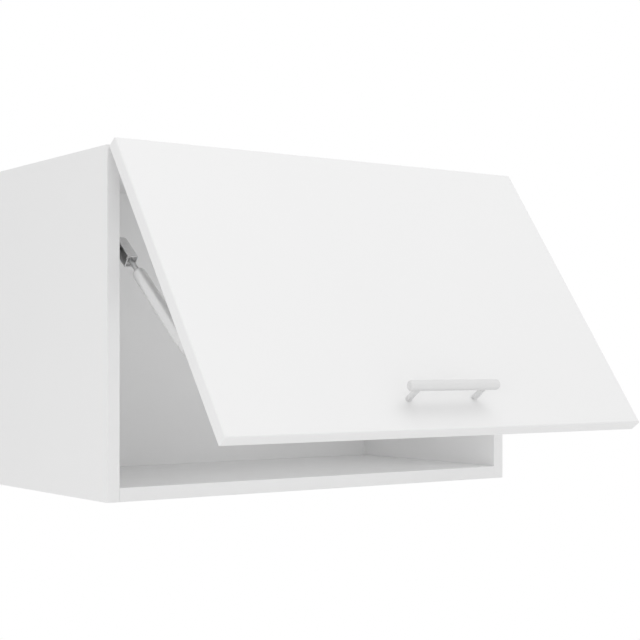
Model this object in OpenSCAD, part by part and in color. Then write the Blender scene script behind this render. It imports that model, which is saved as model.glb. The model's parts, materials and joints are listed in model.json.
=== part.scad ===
// Wall cabinet with a lift-up flap door on gas struts.
// Millimetres. The origin is the centre of the underside, the wall is at +Y, the door at -Y.

/* [Carcass] */
// Outside width of the cabinet
carcass_w = 600; // [500:10:900]
// Outside height of the cabinet
carcass_h = 400; // [380:5:460]
// Depth of the carcass from its front edges to the wall
carcass_d = 300; // [280:5:350]
// Thickness of the sides, the top and the bottom
panel_t = 16; // [15:0.5:19]
// Thickness of the bands on the front edges
band_t = 1; // [0.8:0.1:2]
// Rounding along both corners of a front band
band_r = 0.7; // [0.2:0.1:0.8]

/* [Back panel] */
// Thickness of the back panel
back_t = 3; // [2.5:0.5:4]
// Space between the back panel and the wall
back_recess = 12; // [10:1:20]
// Depth of the groove that holds the back panel
groove_depth = 8; // [5:0.5:9]
// Play of the back panel in its groove, each way
groove_play = 0.1; // [0.05:0.05:0.3]

/* [Joinery] */
// Diameter of the wooden dowels
dowel_d = 8; // [6:0.5:9]
// Length of the wooden dowels
dowel_l = 30; // [25:1:34]
// How deep a dowel sits in a side panel
dowel_in_side = 12; // [9:0.5:13]
// Diameter of the cam housings
cam_d = 15; // [12:0.5:18]
// Height of the cam housings
cam_h = 12.5; // [10.5:0.25:13]
// Distance from a panel's end to the centre of its cams
cam_inset = 24; // [20:1:34]
// Diameter of the cam bolts
bolt_d = 6; // [5:0.5:7]
// How deep a cam bolt screws into a side panel
bolt_in_side = 11; // [9:0.5:13]
// Distance from the front or the rear to the nearest cam
cam_from_edge = 50; // [40:1:70]
// Distance from a cam to its dowel
dowel_from_cam = 32; // [20:1:40]
// Radial play of dowels, cams and bolts in their holes
hole_play = 0.05; // [0.02:0.01:0.1]

/* [Door] */
// Thickness of the door
door_t = 16; // [15:0.5:19]
// How far the door stays inside the carcass outline, all round
door_reveal = 2; // [1:0.5:3]
// Gap between the closed door and the front edges
door_gap = 1.5; // [1.2:0.1:2.5]
// Rounding of the door's front edges
door_r = 2.5; // [1:0.5:4]
// Opening angle of the door as shown
door_open = 35.3; // [0:0.1:70]
// Diameter of the soft bumpers on the door
bumper_d = 8; // [6:0.5:10]
// Height of the soft bumpers
bumper_h = 1.2; // [0.8:0.1:1.2]

/* [Handle] */
// Diameter of the handle bar
bar_d = 12; // [10:0.5:14]
// Length of the handle bar
bar_l = 128; // [124:1:160]
// Rounding of the bar's ends
bar_end_r = 2.5; // [0.5:0.5:4]
// Distance between the handle's two posts
post_spacing = 96; // [64:1:112]
// Diameter of the posts
post_d = 7; // [6:0.5:9]
// Distance from the door to the middle of the bar
bar_off = 26.5; // [25:0.5:40]
// Height of the posts above the lower edge of the door
handle_up = 40; // [30:1:80]
// Diameter of the handle screws
handle_screw_d = 4; // [3:0.5:5]
// How deep a handle screw reaches into its post
handle_screw_grip = 9; // [6:0.5:12]

/* [Hinges] */
// Distance from the cabinet's side to the middle of a hinge
hinge_inset = 100; // [80:5:140]
// Diameter of the hinge cups
cup_d = 35; // [34:0.5:36]
// Depth of the hinge cups
cup_depth = 12.5; // [12:0.25:13]
// Distance from the door's top edge to the middle of a cup
cup_drop = 22.5; // [21.5:0.5:24]
// Wall of the cup
cup_wall = 0.8; // [0.6:0.1:1]
// Thickness of the cup's flange on the door
flange_t = 0.9; // [0.6:0.1:1]
// Width of the hinge arm
arm_w = 14; // [12:0.5:16]
// Sheet thickness of the hinge arm
arm_t = 1.4; // [1:0.1:1.6]
// Length of the hinge arm behind its pivot
arm_l = 76; // [68:1:85]
// Diameter of the pin that carries the hinge link
link_pin_d = 3; // [2.5:0.25:3.5]
// Length of the hinge link from pivot to pivot
link_l = 19.8; // [19:0.2:20.4]
// Distance from the front edge to the screws of the hinge plate
plate_screw_back = 37; // [32:1:45]
// Distance between the two screws of the hinge plate
plate_screw_spacing = 32; // [28:1:40]

/* [Gas struts] */
// Distance from the cabinet's side to the middle of a strut
strut_inset = 32; // [30:0.5:45]
// Distance from the front edges back to the strut's cabinet pivot
strut_back = 29.5; // [20:0.5:45]
// Distance from the cabinet's top down to the strut's cabinet pivot
strut_drop = 107.7; // [100:0.1:130]
// Distance from the hinge axis down the door to the strut's foot
strut_foot = 330; // [320:1:345]
// Height of the foot's pin above the door's back
strut_foot_off = 12; // [11:0.5:16]
// Diameter of the strut's tube
tube_d = 15.5; // [14:0.5:18]
// Wall of the tube
tube_wall = 1; // [0.8:0.1:1.5]
// Length of the tube with its rounded shoulder
tube_l = 141.5; // [130:0.5:150]
// Diameter of the piston rod
rod_d = 6; // [5:0.5:8]
// Length of rod that is inside the tube as shown
rod_inside = 72.5; // [50:0.5:80]
// Width of the folded end fitting, along the cabinet
fitting_w = 13; // [12.5:0.5:15]
// Height of the folded end fitting, from its upper to its lower face
fitting_h = 15.5; // [14:0.5:18]
// Distance from the fitting's pivot to its lower end
fitting_reach = 35; // [30:1:38]
// Sheet thickness of the end fitting
fitting_t = 1.2; // [1:0.1:1.5]
// How far the end wall sits inside the fitting's folded faces
fitting_lip = 1.5; // [0.5:0.5:2.5]
// Rounding of the corner at the fitting's head, seen from above
fitting_corner_r = 5; // [3:0.5:6]
// Length of bare stud between the fitting and the tube
neck_l = 19; // [14:0.5:22]
// Diameter of the stud
neck_d = 6; // [5:0.5:7]
// Diameter of the pin in the strut's foot
foot_pin_d = 6; // [5:0.5:7]
// Radial running clearance of pins and rods
run_play = 0.05; // [0.02:0.01:0.08]
// Thickness of the steel brackets
bracket_t = 2; // [1.5:0.25:3]

/* [Wall hangers] */
// Width of a hanger housing, seen from the front
hanger_w = 22; // [18:1:28]
// Height of a hanger housing
hanger_h = 62; // [55:1:70]
// Depth of a hanger housing
hanger_d = 46; // [40:1:55]
// Space between a hanger housing and the top panel
hanger_top_gap = 10; // [6:1:20]
// Thickness of the steel hook
hook_t = 2.5; // [2:0.25:3]
// Width of the steel hook
hook_w = 12; // [10:1:14]

/* [Hidden] */
$fn = 48;

white = [0.93, 0.93, 0.93];
steel = [0.72, 0.73, 0.75];
dark_steel = [0.5, 0.51, 0.53];
plastic = [0.88, 0.88, 0.87];
timber = [0.8, 0.68, 0.5];
cut = 0.01;

inner_w = carcass_w - 2 * panel_t;
front_y = -carcass_d / 2;
rear_y = carcass_d / 2;
side_x = carcass_w / 2;
inner_x = inner_w / 2;
back_front_y = rear_y - back_recess - back_t;
groove_w = back_t + 2 * groove_play;

door_w = carcass_w - 2 * door_reveal;
door_h = carcass_h - 2 * door_reveal;
axis_y = front_y - door_gap;
axis_z = carcass_h - door_reveal;

hinge_x = side_x - hinge_inset;
pivot_fwd = 5;
pivot_drop = 13.6;
link_lean = 57.8;
link_eye_r = 2.6;
arm_rail_drop = 9;
arm_rail_r = 3;
arm_bend = [[0, 0], [5, -7.5], [16, -arm_rail_drop]];
arm_gap = 0.3;
plate_t = 2;
plate_l = 46;
plate_wing = 48;
plate_wing_w = 12;
plate_body_w = 17;
cup_rim = 1.5;
cup_screw_spacing = 48;
cup_screw_drop = 9.5;
cup_ear_r = 6;
small_screw_d = 3.5;
small_screw_l = 11;
euro_screw_d = 5;
euro_screw_l = 11.5;
euro_head_d = 9;
euro_head_h = 2;
hole_spare = 0.5;
bolt_way = 0.5;

strut_x = side_x - strut_inset;
strut_y = front_y + strut_back;
strut_z = carcass_h - strut_drop;
foot_y = axis_y - strut_foot * sin(door_open) + strut_foot_off * cos(door_open);
foot_z = axis_z - strut_foot * cos(door_open) - strut_foot_off * sin(door_open);
strut_run = norm([foot_y - strut_y, foot_z - strut_z]);
strut_lean = atan2(strut_y - foot_y, strut_z - foot_z);
fitting_half = fitting_w / 2;
tube_start = fitting_reach + neck_l;
tube_end = tube_start + tube_l;
shoulder = 5;
gland_l = 3.5;
rod_end_reach = 10;
rod_end_w = 10;
rod_end_r = 6;
rod_end_neck = 9;
piston_l = 4;
rod_l = strut_run - rod_end_reach - tube_end + rod_inside;
end_wall_z = fitting_lip - fitting_reach;
stud_thread = 7;
stud_hole_play = 0.6;
nut_d = 10;
nut_h = 4;
bracket_w = 20;
bracket_l = 56;
bracket_screw_spacing = 40;
stud_gap = 0.5;
boss_d = 9;
ear_gap = 0.3;

// Profile of a slab: x across, y from -t to 0, with the two corners at -t rounded
module slab_profile(w, t, r) {
    translate([-w / 2 + r, -t]) square([w - 2 * r, t]);
    translate([-w / 2, r - t]) square([w, t - r]);
    for (s = [-1, 1])
        translate([s * (w / 2 - r), r - t]) intersection() {
            circle(r);
            translate([-r, -r]) square([2 * r, r + cut]);
        }
}

// A bar with round ends between two points of a plane
module bar2d(a, b, r) {
    d = b - a;
    translate(a) rotate(atan2(d[1], d[0])) translate([0, -r]) square([norm(d), 2 * r]);
    translate(a) circle(r);
    translate(b) circle(r);
}

// Extrudes a (y, z) profile along X, centred on X = 0
module across(w) {
    rotate([90, 0, 90]) translate([0, 0, -w / 2]) linear_extrude(w) children();
}

// A cylinder along X, centred on X = 0
module pin_x(d, w) {
    rotate([0, 90, 0]) cylinder(d = d, h = w, center = true);
}

// A screw that points along -Z from z = 0, with its head above
module screw(d, l, head_d, head_h) {
    chamfer = 0.6;
    rotate_extrude() polygon([
        [0, head_h], [head_d / 2 - chamfer, head_h], [head_d / 2, head_h - chamfer], [head_d / 2, 0],
        [d / 2, 0], [d / 2, -l + d / 2], [0, -l]]);
}

// Places parts that belong to the door: z runs up the closed door from its hinge axis, y points in
module on_door() {
    translate([0, axis_y, axis_z]) rotate([-door_open, 0, 0]) children();
}

// Places strut parts: the origin is the cabinet pivot and -z runs down the strut
module on_strut(side) {
    translate([side * strut_x, strut_y, strut_z]) rotate([-strut_lean, 0, 0]) children();
}

// Places hinge parts: the origin is the pivot of the link, x is across the hinge
module on_hinge(side) {
    translate([side * hinge_x, axis_y - pivot_fwd, axis_z - pivot_drop]) children();
}

cam_ys = [front_y + cam_from_edge, rear_y - cam_from_edge];
dowel_ys = [cam_ys[0] + dowel_from_cam, cam_ys[1] - dowel_from_cam];
joint_zs = [panel_t / 2, carcass_h - panel_t / 2];

module joinery_holes_in_side(side) {
    for (z = joint_zs) {
        for (y = dowel_ys)
            translate([side * inner_x, y, z])
                pin_x(dowel_d + 2 * hole_play, 2 * (dowel_in_side + hole_spare));
        for (y = cam_ys)
            translate([side * inner_x, y, z])
                pin_x(bolt_d + 2 * hole_play, 2 * (bolt_in_side + hole_spare));
    }
}

module side_panel(side) {
    lift = (side > 0) ? inner_x : -side_x;
    difference() {
        translate([lift, front_y + band_t, 0]) cube([panel_t, carcass_d - band_t, carcass_h]);
        translate([side * inner_x, back_front_y - groove_play + groove_w / 2, carcass_h / 2])
            cube([2 * groove_depth, groove_w, carcass_h - 2 * (panel_t - groove_depth)], center = true);
        joinery_holes_in_side(side);
        for (z = strut_bracket_zs)
            translate([side * inner_x, strut_plate_y, z])
                pin_x(euro_screw_d + 2 * hole_play, 2 * euro_screw_l);
        for (z = hanger_peg_zs)
            translate([side * inner_x, hanger_y, z])
                pin_x(hanger_peg_d + 2 * hole_play, 2 * (hanger_peg_l + hole_spare));
    }
}

module left_side() {
    color(white) side_panel(-1);
}

module right_side() {
    color(white) side_panel(1);
}

// A horizontal panel with its cam holes open on the outer face and its grooves on the inner one
module flat_panel(outer) {
    low = (outer > 0) ? carcass_h - panel_t : 0;
    mid = low + panel_t / 2;
    outer_z = (outer > 0) ? carcass_h : 0;
    inner_z = (outer > 0) ? carcass_h - panel_t : panel_t;
    difference() {
        translate([-inner_x, front_y + band_t, low]) cube([inner_w, carcass_d - band_t, panel_t]);
        translate([0, back_front_y - groove_play + groove_w / 2, inner_z])
            cube([inner_w + 1, groove_w, 2 * groove_depth], center = true);
        for (side = [-1, 1]) {
            for (y = cam_ys) {
                translate([side * (inner_x - cam_inset), y, outer_z])
                    cylinder(d = cam_d + 2 * hole_play, h = 2 * cam_h + hole_play, center = true);
                translate([side * (inner_x - cam_inset / 2), y, mid])
                    pin_x(bolt_d + 2 * bolt_way, cam_inset + cut);
            }
            for (y = dowel_ys)
                translate([side * inner_x, y, mid])
                    pin_x(dowel_d + 2 * hole_play, 2 * (dowel_l - dowel_in_side + hole_spare));
            if (outer > 0)
                for (s = [-1, 1])
                    translate([side * hinge_x + s * plate_screw_spacing / 2, plate_y, low])
                        cylinder(d = euro_screw_d + 2 * hole_play, h = 2 * euro_screw_l, center = true);
        }
    }
}

module top_panel() {
    color(white) flat_panel(1);
}

module bottom_panel() {
    color(white) flat_panel(-1);
}

module back_panel() {
    reach_x = inner_x + groove_depth - hole_spare;
    reach_z = panel_t - groove_depth + hole_spare;
    color(white) difference() {
        translate([-reach_x, back_front_y, reach_z]) cube([2 * reach_x, back_t, carcass_h - 2 * reach_z]);
        for (side = [-1, 1])
            translate([side * inner_x, back_front_y + back_t / 2, hook_mid_z])
                cube([2 * hook_window_w, back_t + 1, hook_window_h], center = true);
    }
}

// An upright band on the front edge of a side
module side_band(side) {
    translate([side * (side_x - panel_t / 2), front_y + band_t, 0])
        linear_extrude(carcass_h) slab_profile(panel_t, band_t, band_r);
}

module left_edge_band() {
    color(white) side_band(-1);
}

module right_edge_band() {
    color(white) side_band(1);
}

// A level band between the two side bands
module level_band(z) {
    translate([inner_x, front_y + band_t, z])
        rotate([0, -90, 0]) linear_extrude(inner_w) slab_profile(panel_t, band_t, band_r);
}

module top_edge_band() {
    color(white) level_band(carcass_h - panel_t / 2);
}

module bottom_edge_band() {
    color(white) level_band(panel_t / 2);
}

// Cam housings with a screwdriver cross and a pocket for the bolt's head
module cam_housings() {
    slot = [7, 1.4, 4];
    color(dark_steel) for (side = [-1, 1], outer = [-1, 1], y = cam_ys) {
        outer_z = (outer > 0) ? carcass_h : 0;
        translate([side * (inner_x - cam_inset), y, outer_z]) difference() {
            translate([0, 0, -outer * cam_h / 2]) cylinder(d = cam_d, h = cam_h, center = true);
            translate([side * cam_d / 4, 0, -outer * panel_t / 2]) pin_x(bolt_d + 2 * bolt_way, cam_d);
            for (a = [0, 90]) rotate(a) cube(slot, center = true);
        }
    }
}

// Bolts that stand out of the sides into the cams
module cam_bolts() {
    neck = bolt_d - 1.5;
    collar = bolt_d + bolt_way;
    collar_l = 8;
    head_l = 3;
    head_z = bolt_in_side + cam_inset - head_l;
    color(steel) for (side = [-1, 1], z = joint_zs, y = cam_ys)
        translate([side * (inner_x + bolt_in_side), y, z]) rotate([0, -side * 90, 0]) union() {
            cylinder(d = bolt_d, h = bolt_in_side);
            cylinder(d = neck, h = head_z);
            translate([0, 0, bolt_in_side]) cylinder(d = collar, h = collar_l);
            translate([0, 0, head_z]) cylinder(d = bolt_d, h = head_l);
        }
}

module dowels() {
    chamfer = 1;
    r = dowel_d / 2;
    half = dowel_l / 2;
    color(timber) for (side = [-1, 1], z = joint_zs, y = dowel_ys)
        translate([side * (inner_x + dowel_in_side - half), y, z]) rotate([0, 90, 0])
            rotate_extrude() polygon([
                [0, -half], [r - chamfer, -half], [r, chamfer - half],
                [r, half - chamfer], [r - chamfer, half], [0, half]]);
}

hanger_mid_z = carcass_h - panel_t - hanger_top_gap - hanger_h / 2;
hanger_gap = 0.3;
hanger_rear = back_front_y - hanger_gap;
hanger_y = hanger_rear - hanger_d / 2;
hanger_wall = 2;
hanger_front = 3;
hanger_step = 3;
hanger_peg_d = 10;
hanger_peg_l = 8;
hanger_peg_way = 16;
hanger_peg_zs = [hanger_mid_z - hanger_peg_way, hanger_mid_z + hanger_peg_way];
adjuster_d = 8.2;
adjuster_l = 8;
adjuster_sink = 0.7;
adjuster_way = 14;
adjuster_zs = [hanger_mid_z - adjuster_way, hanger_mid_z + adjuster_way];
hook_up = 10;
hook_mid_x = inner_x - hanger_w / 2;
hook_mid_z = hanger_mid_z + hook_up;
hook_window_w = 19;
hook_window_h = 34;
hook_tail = 30;
hook_claw = 14;
hook_tip_y = rear_y - 1;

// A hanger housing: a shell that is open towards the wall, with pegs in the side panel
module hanger(side) {
    hollow_h = hanger_h - 4 * hanger_step;
    difference() {
        union() {
            translate([side * hook_mid_x, hanger_y, hanger_mid_z])
                cube([hanger_w, hanger_d, hanger_h - 2 * hanger_step], center = true);
            translate([side * hook_mid_x, hanger_y + hanger_step, hanger_mid_z])
                cube([hanger_w, hanger_d - 2 * hanger_step, hanger_h], center = true);
            for (z = hanger_peg_zs)
                translate([side * (inner_x + (hanger_peg_l - hanger_wall) / 2), hanger_y, z])
                    pin_x(hanger_peg_d, hanger_peg_l + hanger_wall);
        }
        translate([side * hook_mid_x, hanger_y + hanger_front, hanger_mid_z])
            cube([hanger_w - 2 * hanger_wall, hanger_d, hollow_h], center = true);
        for (z = adjuster_zs)
            translate([side * hook_mid_x, hanger_y - hanger_d / 2, z]) rotate([90, 0, 0])
                cylinder(d = adjuster_d + 4 * hole_play, h = 3 * hanger_front, center = true);
    }
}

module left_hanger() {
    color(plastic) hanger(-1);
}

module right_hanger() {
    color(plastic) hanger(1);
}

// The steel hook: a flat tail in the housing and a claw that drops over a wall rail
module hook(side) {
    start = hanger_rear - hook_tail;
    top = hook_t / 2;
    lean = 1;
    slider = [hanger_w - 2 * hanger_wall, 6, 12];
    translate([side * hook_mid_x, 0, hook_mid_z]) union() {
        across(hook_w) polygon([
            [start, top], [hook_tip_y, top], [hook_tip_y, top - hook_claw],
            [hook_tip_y - hook_t, top - hook_claw], [hook_tip_y - hook_t - lean, -top], [start, -top]]);
        translate([0, start, 0]) cube(slider, center = true);
    }
}

module left_hook() {
    color(steel) hook(-1);
}

module right_hook() {
    color(steel) hook(1);
}

// Adjusting screws of the hangers, one for height and one for the pull to the wall
module hanger_adjusters() {
    slot = [5.5, 1.2, 4];
    color(steel) for (side = [-1, 1], z = adjuster_zs)
        translate([side * hook_mid_x, hanger_y - hanger_d / 2 + adjuster_sink, z]) rotate([-90, 0, 0])
            difference() {
                cylinder(d = adjuster_d, h = adjuster_l);
                for (a = [45, 135]) rotate(a) cube(slot, center = true);
            }
}

module door_slab() {
    intersection() {
        translate([0, 0, -door_h]) linear_extrude(door_h) slab_profile(door_w, door_t, door_r);
        translate([door_w / 2, 0, -door_h / 2])
            rotate([0, -90, 0]) linear_extrude(door_w) slab_profile(door_h, door_t, door_r);
    }
}

foot_plate_z = -strut_foot;
foot_plate_x = strut_x + 2;
foot_plate_w = 20;
foot_plate_l = 54;
foot_plate_r = 4;
foot_screw_way = 19;
foot_screw_zs = [foot_plate_z - foot_screw_way, foot_plate_z + foot_screw_way];

module door_panel() {
    color(white) on_door() difference() {
        door_slab();
        for (side = [-1, 1]) {
            translate([side * hinge_x, 0, -cup_drop]) rotate([90, 0, 0])
                cylinder(d = cup_d + 2 * hole_play, h = 2 * cup_depth + hole_play, center = true);
            for (s = [-1, 1])
                translate([side * hinge_x + s * cup_screw_spacing / 2, 0, -cup_drop - cup_screw_drop])
                    rotate([90, 0, 0])
                        cylinder(d = small_screw_d + 2 * hole_play, h = 2 * small_screw_l, center = true);
            translate([side * post_spacing / 2, -door_t / 2, handle_up - door_h]) rotate([90, 0, 0])
                cylinder(d = handle_screw_d + 2 * hole_spare, h = door_t + 1, center = true);
            for (z = foot_screw_zs)
                translate([side * foot_plate_x, 0, z]) rotate([90, 0, 0])
                    cylinder(d = small_screw_d + 2 * hole_play, h = 2 * small_screw_l, center = true);
        }
    }
}

module door_bumpers() {
    r = bumper_d / 2;
    up = 12;
    color(plastic) on_door() for (side = [-1, 1])
        translate([side * (side_x - panel_t / 2), 0, up - door_h]) rotate([-90, 0, 0])
            rotate_extrude()
                polygon([[0, 0], [r, 0], [r, bumper_h / 2], [r - 1, bumper_h], [0, bumper_h]]);
}

bar_y = -door_t - bar_off;
handle_z = handle_up - door_h;
post_seat = 2;

// The handle bar, with rounded ends and a flat seat bored for each post
module handle_bar() {
    half = bar_l / 2;
    r = bar_d / 2;
    color(steel) on_door() translate([0, bar_y, handle_z]) difference() {
        rotate([0, 90, 0]) rotate_extrude() union() {
            translate([0, -half]) square([r - bar_end_r, bar_l]);
            translate([0, bar_end_r - half]) square([r, bar_l - 2 * bar_end_r]);
            for (s = [-1, 1])
                translate([r - bar_end_r, s * (half - bar_end_r)]) intersection() {
                    circle(bar_end_r);
                    translate([0, -bar_end_r]) square(2 * bar_end_r);
                }
        }
        for (s = [-1, 1])
            translate([s * post_spacing / 2, r, 0]) rotate([90, 0, 0])
                cylinder(d = post_d + 2 * hole_play, h = 2 * post_seat, center = true);
    }
}

// A handle post: a plain shank with a slight foot on the door
module handle_post(side) {
    top = bar_off - bar_d / 2 + post_seat - hole_play;
    r = post_d / 2;
    collar = r + 0.4;
    collar_h = 0.8;
    bore_l = handle_screw_grip + hole_spare;
    on_door() translate([side * post_spacing / 2, -door_t, handle_z]) rotate([90, 0, 0]) difference() {
        rotate_extrude()
            polygon([[0, 0], [collar, 0], [collar, collar_h], [r, 2 * collar_h], [r, top], [0, top]]);
        cylinder(d = handle_screw_d + 2 * hole_play, h = 2 * bore_l, center = true);
    }
}

module left_handle_post() {
    color(steel) handle_post(-1);
}

module right_handle_post() {
    color(steel) handle_post(1);
}

module handle_screws() {
    head_d = 9;
    head_h = 2.4;
    color(dark_steel) on_door() for (side = [-1, 1])
        translate([side * post_spacing / 2, 0, handle_z]) rotate([-90, 0, 0])
            screw(handle_screw_d, door_t + handle_screw_grip, head_d, head_h);
}

// The cup that sits in the door, with the flange and its two screw ears
module hinge_cup(side) {
    inner_d = cup_d - 2 * cup_wall;
    on_door() translate([side * hinge_x, 0, -cup_drop]) rotate([90, 0, 0]) difference() {
        union() {
            cylinder(d = cup_d, h = cup_depth);
            translate([0, 0, -flange_t]) linear_extrude(flange_t) union() {
                circle(d = cup_d + 2 * cup_rim);
                bar2d([-cup_screw_spacing / 2, -cup_screw_drop], [cup_screw_spacing / 2, -cup_screw_drop],
                    cup_ear_r);
            }
        }
        translate([0, 0, -flange_t - cut]) cylinder(d = inner_d, h = cup_depth + flange_t - cup_wall);
        for (s = [-1, 1])
            translate([s * cup_screw_spacing / 2, -cup_screw_drop, -flange_t - cut])
                cylinder(d = small_screw_d + 2 * hole_play, h = flange_t + 2 * cut);
    }
}

module left_hinge_cup() {
    color(steel) hinge_cup(-1);
}

module right_hinge_cup() {
    color(steel) hinge_cup(1);
}

module cup_screws() {
    head_d = 6.4;
    head_h = 0.7;
    color(dark_steel) on_door() for (side = [-1, 1], s = [-1, 1])
        translate([side * hinge_x + s * cup_screw_spacing / 2, flange_t, -cup_drop - cup_screw_drop])
            rotate([-90, 0, 0]) screw(small_screw_d, small_screw_l, head_d, head_h);
}

// The arm: two cheeks that reach into the cup past the top panel's edge, a web below them and the pin
module hinge_arm(side) {
    web_r = arm_t / 2;
    web_up = 0.2;
    web_z = web_r + web_up - arm_rail_drop - arm_rail_r;
    between = arm_w - arm_t;
    nose_wall = 1.7;
    nose_r = link_pin_d / 2 + nose_wall;
    neck_less = 0.4;
    neck_r = arm_rail_r - neck_less;
    web_rise = 0.6;
    web_start_y = 9;
    web_start = [web_start_y, web_z + web_rise];
    screw_way = 6;
    screw_way_inset = 14;
    screw_way_y = arm_l - screw_way_inset;
    cam_way = 4.5;
    cam_way_inset = 30;
    cam_way_y = arm_l - cam_way_inset;
    on_hinge(side) difference() {
        union() {
            for (s = [-1, 1])
                translate([s * between / 2, 0, 0]) across(arm_t) union() {
                    circle(nose_r);
                    bar2d(arm_bend[0], arm_bend[1], neck_r);
                    bar2d(arm_bend[1], arm_bend[2], arm_rail_r);
                    bar2d(arm_bend[2], [arm_l - arm_rail_r, -arm_rail_drop], arm_rail_r);
                }
            across(between) union() {
                bar2d(web_start, [arm_bend[2][0], web_z], web_r);
                bar2d([arm_bend[2][0], web_z], [arm_l - arm_rail_r, web_z], web_r);
            }
            pin_x(link_pin_d, between);
        }
        translate([0, screw_way_y, web_z]) cylinder(d = screw_way, h = 2 * arm_rail_r, center = true);
        translate([0, cam_way_y, web_z]) cylinder(d = cam_way, h = 2 * arm_rail_r, center = true);
    }
}

module left_hinge_arm() {
    color(steel) hinge_arm(-1);
}

module right_hinge_arm() {
    color(steel) hinge_arm(1);
}

// The link that swings from the arm into the cup
module hinge_link(side) {
    w = arm_w - 2 * arm_t - 2 * arm_gap;
    tip = [-link_l * sin(link_lean), -link_l * cos(link_lean)];
    sheet_r = 1.3;
    tip_less = 0.4;
    tip_eye_r = link_eye_r - tip_less;
    tip_pin_d = 2.4;
    window_h = 6;
    on_hinge(side) difference() {
        union() {
            across(w) union() {
                bar2d([0, 0], tip, sheet_r);
                circle(link_eye_r);
                translate(tip) circle(tip_eye_r);
            }
            translate([0, tip[0], tip[1]]) pin_x(tip_pin_d, w + tip_pin_d);
        }
        pin_x(link_pin_d + 2 * run_play, w + 1);
        translate([0, tip[0] / 2, tip[1] / 2]) rotate([-link_lean, 0, 0])
            cube([w / 2, window_h, link_l - 4 * link_eye_r], center = true);
    }
}

module left_hinge_link() {
    color(dark_steel) hinge_link(-1);
}

module right_hinge_link() {
    color(dark_steel) hinge_link(1);
}

plate_z = carcass_h - panel_t;
plate_y = front_y + plate_screw_back;
arm_top_z = axis_z - pivot_drop - arm_rail_drop + arm_rail_r;

// The plate under the top panel: a cross with a raised block that the arm closes over
module hinge_plate(side) {
    block_w = arm_w - 2 * arm_t - 2 * arm_gap;
    block_top = plate_z - plate_t;
    block_low = arm_top_z - 2 * arm_rail_r + arm_t + arm_gap;
    block_inset = 5;
    seat_inset = 7;
    difference() {
        union() {
            translate([side * hinge_x, plate_y, plate_z - plate_t / 2]) union() {
                cube([plate_body_w, plate_l, plate_t], center = true);
                cube([plate_wing - plate_wing_w, plate_wing_w, plate_t], center = true);
                for (s = [-1, 1])
                    translate([s * (plate_wing - plate_wing_w) / 2, 0, 0])
                        cylinder(d = plate_wing_w, h = plate_t, center = true);
            }
            translate([side * hinge_x, plate_y, (block_top + block_low) / 2])
                cube([block_w, plate_l - 2 * block_inset, block_top - block_low], center = true);
            translate([side * hinge_x, plate_y, (block_top + arm_top_z) / 2])
                cube([plate_body_w - 1, plate_l - 2 * seat_inset, block_top - arm_top_z], center = true);
        }
        for (s = [-1, 1])
            translate([side * hinge_x + s * plate_screw_spacing / 2, plate_y, plate_z])
                cylinder(d = euro_screw_d + 2 * hole_play, h = 4 * plate_t, center = true);
    }
}

module left_hinge_plate() {
    color(steel) hinge_plate(-1);
}

module right_hinge_plate() {
    color(steel) hinge_plate(1);
}

module plate_screws() {
    color(dark_steel) for (side = [-1, 1], s = [-1, 1])
        translate([side * hinge_x + s * plate_screw_spacing / 2, plate_y, plate_z - plate_t])
            rotate([180, 0, 0]) screw(euro_screw_d, euro_screw_l, euro_head_d, euro_head_h);
}

strut_plate_y = strut_y + 6;
strut_bracket_zs = [strut_z - bracket_screw_spacing / 2, strut_z + bracket_screw_spacing / 2];

// The plate on the side panel with the stud that the strut's fitting meets
module strut_bracket(side) {
    boss_l = strut_inset - panel_t - bracket_t - fitting_half - stud_gap;
    face_x = inner_x - bracket_t;
    shoulder_d = boss_d + 4;
    shoulder_h = 2;
    difference() {
        union() {
            translate([side * (inner_x - bracket_t / 2), strut_plate_y, strut_z]) union() {
                cube([bracket_t, bracket_w, bracket_l - bracket_w], center = true);
                for (s = [-1, 1])
                    translate([0, 0, s * (bracket_l - bracket_w) / 2]) pin_x(bracket_w, bracket_t);
            }
            translate([side * (face_x - boss_l / 2), strut_y, strut_z]) pin_x(boss_d, boss_l);
            translate([side * (face_x - shoulder_h / 2), strut_y, strut_z]) pin_x(shoulder_d, shoulder_h);
        }
        for (z = strut_bracket_zs)
            translate([side * inner_x, strut_plate_y, z])
                pin_x(euro_screw_d + 2 * hole_play, 4 * bracket_t);
    }
}

module left_strut_bracket() {
    color(dark_steel) strut_bracket(-1);
}

module right_strut_bracket() {
    color(dark_steel) strut_bracket(1);
}

module strut_bracket_screws() {
    color(steel) for (side = [-1, 1], z = strut_bracket_zs)
        translate([side * (inner_x - bracket_t), strut_plate_y, z]) rotate([0, -side * 90, 0])
            screw(euro_screw_d, euro_screw_l, euro_head_d, euro_head_h);
}

// The fitting from above: y runs up the strut, the corner on the closed side of the head is round
module fitting_plan(side, inset) {
    r = fitting_corner_r - inset;
    low = -inset - fitting_reach;
    top = fitting_h / 2 - inset;
    translate([side * inset, 0]) union() {
        translate([-fitting_half, low]) square([fitting_w, top - r - low]);
        translate([(side + 1) * r / 2 - fitting_half, low]) square([fitting_w - r, top - low]);
        translate([-side * (fitting_half - r), top - r]) circle(r);
    }
}

// The fitting's hood as a block, slimmer by the inset and open below for the hollow inside it
module fitting_hood(side, inset) {
    r = fitting_h / 2 - inset;
    intersection() {
        across(2 * fitting_w) union() {
            circle(r);
            translate([-r, -inset - fitting_reach]) square([2 * r, fitting_reach + inset]);
        }
        translate([0, fitting_h, 0]) rotate([90, 0, 0])
            linear_extrude(2 * fitting_h) fitting_plan(side, inset);
    }
}

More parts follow.
